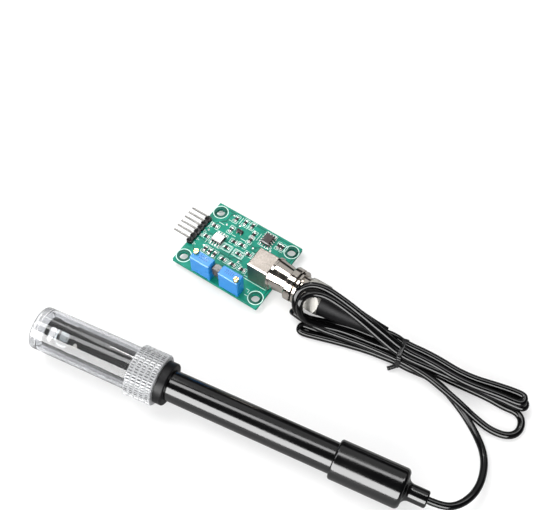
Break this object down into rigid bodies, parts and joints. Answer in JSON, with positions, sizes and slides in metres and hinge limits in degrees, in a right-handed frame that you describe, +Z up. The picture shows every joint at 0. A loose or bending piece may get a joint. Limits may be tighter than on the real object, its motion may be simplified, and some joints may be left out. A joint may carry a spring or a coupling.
{
  "type": "ph electrode",
  "caption": "Combination pH electrode in a clear storage bottle, its tied cord and bayonet plug mated to a small signal board.",
  "frame": {"origin": "on the surface it lies on, under the middle of the box of the electrode, its bottle and the board, the cord and its plug left out", "axes": "+X along the electrode from its tip to its cord, +Z up, +Y towards the board"},
  "size_m": [0.1822, 0.0964, 0.0212],
  "materials": {
    "gloss_black": "polished",
    "black_rubber": "satin",
    "clear_plastic": "polished",
    "glass": "polished",
    "silver": "satin",
    "ceramic": "matte",
    "sealant": "satin",
    "cord_black": "satin",
    "tie_black": "satin",
    "chrome": "polished",
    "brass": "polished",
    "white_plastic": "satin",
    "board_green": "satin",
    "solder": "bright",
    "trimmer_blue": "satin",
    "chip_black": "matte"
  },
  "bodies": {
    "electrode": {"electrode_tube": "gloss_black", "tip_guard": "gloss_black", "reference_junction": "ceramic", "glass_bulb": "glass", "tip_seal": "sealant", "silver_wire": "silver", "reference_wire": "silver", "tube_plug": "sealant", "electrode_cap": "gloss_black", "cord_tail": "cord_black", "cord_hank": "cord_black", "cord_tie": "tie_black", "plug_body": "chrome", "plug_gasket": "black_rubber", "retaining_ring": "silver", "spring_washer": "silver", "pin_insulator": "white_plastic", "centre_pin": "brass", "clamp_nut": "chrome", "plug_boot": "black_rubber"},
    "bottle": {"storage_bottle": "clear_plastic"},
    "seal": {"seal_ring": "black_rubber"},
    "nut": {"bottle_nut": "clear_plastic"},
    "collar": {"plug_collar": "chrome"},
    "board": {"circuit_board": "board_green", "solder_joints": "solder", "socket_body": "chrome", "socket_insulator": "white_plastic", "socket_contact": "brass", "header_strip": "chip_black", "header_pins": "brass", "trimmer_1_body": "trimmer_blue", "trimmer_2_body": "trimmer_blue", "trimmer_leads": "solder", "sensor_body": "chip_black", "sensor_leads": "solder", "amplifier_chips": "chip_black", "amplifier_leads": "solder", "transistor_body": "chip_black", "transistor_leads": "solder", "chip_resistors": "chip_black", "resistor_ends": "solder"},
    "screw_1": {"trimmer_1_screw": "brass"},
    "screw_2": {"trimmer_2_screw": "brass"}
  },
  "joints": [
    {"name": "bottle_pull", "type": "slide", "parent": "electrode", "child": "bottle", "axis": [-0.9997, 0, 0.026], "range_m": [0, 0.06]},
    {"name": "seal_release", "type": "slide", "parent": "bottle", "child": "seal", "axis": [0.9997, 0, -0.026], "range_m": [0, 0.005]},
    {"name": "nut_turn", "type": "hinge", "parent": "seal", "child": "nut", "pos_m": [-0.02633, -0.03807, 0.01008], "axis": [0.9997, 0, -0.026], "range_deg": [0, 721]},
    {"name": "collar_turn", "type": "hinge", "parent": "electrode", "child": "collar", "pos_m": [0.00337, 0.02035, 0.011], "axis": [0.9869, -0.1616, 0], "range_deg": [0, 75.1]},
    {"name": "board_draw", "type": "slide", "parent": "electrode", "child": "board", "axis": [-0.9869, 0.1616, 0], "range_m": [0, 0.003]},
    {"name": "trimmer_1_turn", "type": "hinge", "parent": "board", "child": "screw_1", "pos_m": [-0.03957, 0.01619, 0.0136], "axis": [0, 0, 1], "continuous": true},
    {"name": "trimmer_2_turn", "type": "hinge", "parent": "board", "child": "screw_2", "pos_m": [-0.01933, 0.01105, 0.0136], "axis": [0, 0, 1], "continuous": true}
  ],
  "couplings": [
    {"joint": "nut_turn", "follows": "seal_release", "rad_per_m": 2513.3},
    {"joint": "collar_turn", "follows": "board_draw", "rad_per_m": 436.33}
  ]
}
